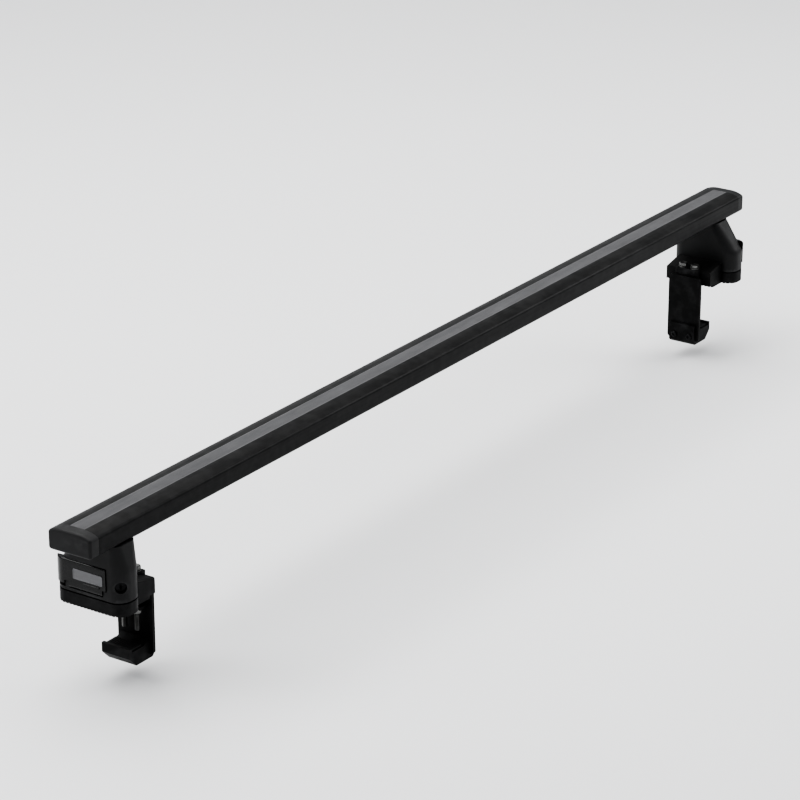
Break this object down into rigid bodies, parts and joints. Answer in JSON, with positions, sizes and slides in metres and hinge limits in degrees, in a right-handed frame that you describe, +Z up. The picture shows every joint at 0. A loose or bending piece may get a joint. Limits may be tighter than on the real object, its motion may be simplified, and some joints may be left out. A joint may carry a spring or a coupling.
{
  "type": "bed cargo bar",
  "caption": "Crossbar for a pickup bed: hollow bar with a rubber strip, on feet with a locked cover that stand on the bed rails and clamp under them.",
  "frame": {"origin": "centre of the flat load face on top of the bar", "axes": "+X along the bar towards the right bed rail, +Y towards the cab, +Z up; millimetre model, metres in the row"},
  "size_m": [1.75, 0.142, 0.233],
  "materials": {
    "bar_aluminium": "black anodised, satin",
    "strip_rubber": "matt ribbed rubber, dusty dark grey",
    "cap_plastic": "fine-grained black plastic",
    "foot_plastic": "fine-grained black plastic",
    "base_metal": "textured black powder coat",
    "cover_plastic": "gloss black",
    "badge_metal": "plain satin plate",
    "lock_metal": "dark nickel",
    "clamp_metal": "satin black coat",
    "fastener_steel": "zinc plated",
    "black_steel": "black oxide",
    "pad_rubber": "matt black rubber"
  },
  "bodies": {
    "bar": {"load_bar": "bar_aluminium", "top_strip": "strip_rubber", "end_cap_left": "cap_plastic", "end_cap_right": "cap_plastic"},
    "left_foot": {"left_rail_pad": "pad_rubber", "left_foot_base": "base_metal", "left_foot_body": "foot_plastic", "left_base_screws": "fastener_steel", "left_t_bolts": "fastener_steel", "left_t_bolt_nuts": "fastener_steel", "left_cover_pin": "fastener_steel", "left_bolt_washers": "fastener_steel"},
    "left_cover": {"left_cover": "cover_plastic", "left_badge": "badge_metal"},
    "left_lock": {"left_lock_cylinder": "lock_metal", "left_lock_cam": "fastener_steel"},
    "left_clamp": {"left_clamp_plate": "clamp_metal", "left_weld_nuts": "fastener_steel", "left_clamp_jaw": "clamp_metal", "left_jaw_pad": "pad_rubber", "left_jaw_screws": "black_steel"},
    "left_tension_bolt_a": {"left_tension_bolt_a": "fastener_steel"},
    "left_tension_bolt_b": {"left_tension_bolt_b": "fastener_steel"},
    "right_foot": {"right_rail_pad": "pad_rubber", "right_foot_base": "base_metal", "right_foot_body": "foot_plastic", "right_base_screws": "fastener_steel", "right_t_bolts": "fastener_steel", "right_t_bolt_nuts": "fastener_steel", "right_cover_pin": "fastener_steel", "right_bolt_washers": "fastener_steel"},
    "right_cover": {"right_cover": "cover_plastic", "right_badge": "badge_metal"},
    "right_lock": {"right_lock_cylinder": "lock_metal", "right_lock_cam": "fastener_steel"},
    "right_clamp": {"right_clamp_plate": "clamp_metal", "right_weld_nuts": "fastener_steel", "right_clamp_jaw": "clamp_metal", "right_jaw_pad": "pad_rubber", "right_jaw_screws": "black_steel"},
    "right_tension_bolt_a": {"right_tension_bolt_a": "fastener_steel"},
    "right_tension_bolt_b": {"right_tension_bolt_b": "fastener_steel"}
  },
  "joints": [
    {"name": "left_foot_slide", "type": "slide", "parent": "bar", "child": "left_foot", "axis": [1, 0, 0], "range_m": [-0.02, 0.15]},
    {"name": "left_bolt_a_turn", "type": "hinge", "parent": "left_foot", "child": "left_tension_bolt_a", "pos_m": [-0.744, -0.003, -0.133], "axis": [0, 0, 1], "range_deg": [-2881, 7201]},
    {"name": "left_bolt_b_turn", "type": "hinge", "parent": "left_foot", "child": "left_tension_bolt_b", "pos_m": [-0.744, 0.019, -0.133], "axis": [0, 0, 1], "range_deg": [-2881, 7201]},
    {"name": "left_clamp_slide", "type": "slide", "parent": "left_foot", "child": "left_clamp", "axis": [0, 0, 1], "range_m": [-0.025, 0.01]},
    {"name": "left_cover_hinge", "type": "hinge", "parent": "left_foot", "child": "left_cover", "pos_m": [-0.8235, 0.015, -0.1038], "axis": [0, -1, 0], "range_deg": [0, 80]},
    {"name": "left_lock_turn", "type": "hinge", "parent": "left_foot", "child": "left_lock", "pos_m": [-0.82064, -0.04014, -0.091], "axis": [-0.7071, -0.7071, 0], "range_deg": [0, 90]},
    {"name": "right_foot_slide", "type": "slide", "parent": "bar", "child": "right_foot", "axis": [-1, 0, 0], "range_m": [-0.02, 0.15]},
    {"name": "right_bolt_a_turn", "type": "hinge", "parent": "right_foot", "child": "right_tension_bolt_a", "pos_m": [0.744, 0.003, -0.133], "axis": [0, 0, 1], "range_deg": [-2881, 7201]},
    {"name": "right_bolt_b_turn", "type": "hinge", "parent": "right_foot", "child": "right_tension_bolt_b", "pos_m": [0.744, -0.019, -0.133], "axis": [0, 0, 1], "range_deg": [-2881, 7201]},
    {"name": "right_clamp_slide", "type": "slide", "parent": "right_foot", "child": "right_clamp", "axis": [0, 0, 1], "range_m": [-0.025, 0.01]},
    {"name": "right_cover_hinge", "type": "hinge", "parent": "right_foot", "child": "right_cover", "pos_m": [0.8235, -0.015, -0.1038], "axis": [0, 1, 0], "range_deg": [0, 80]},
    {"name": "right_lock_turn", "type": "hinge", "parent": "right_foot", "child": "right_lock", "pos_m": [0.82064, 0.04014, -0.091], "axis": [0.7071, 0.7071, 0], "range_deg": [0, 90]}
  ],
  "couplings": [
    {"joint": "left_bolt_a_turn", "follows": "left_clamp_slide", "rad_per_m": -5026.5},
    {"joint": "left_bolt_b_turn", "follows": "left_clamp_slide", "rad_per_m": -5026.5},
    {"joint": "right_bolt_a_turn", "follows": "right_clamp_slide", "rad_per_m": -5026.5},
    {"joint": "right_bolt_b_turn", "follows": "right_clamp_slide", "rad_per_m": -5026.5}
  ]
}
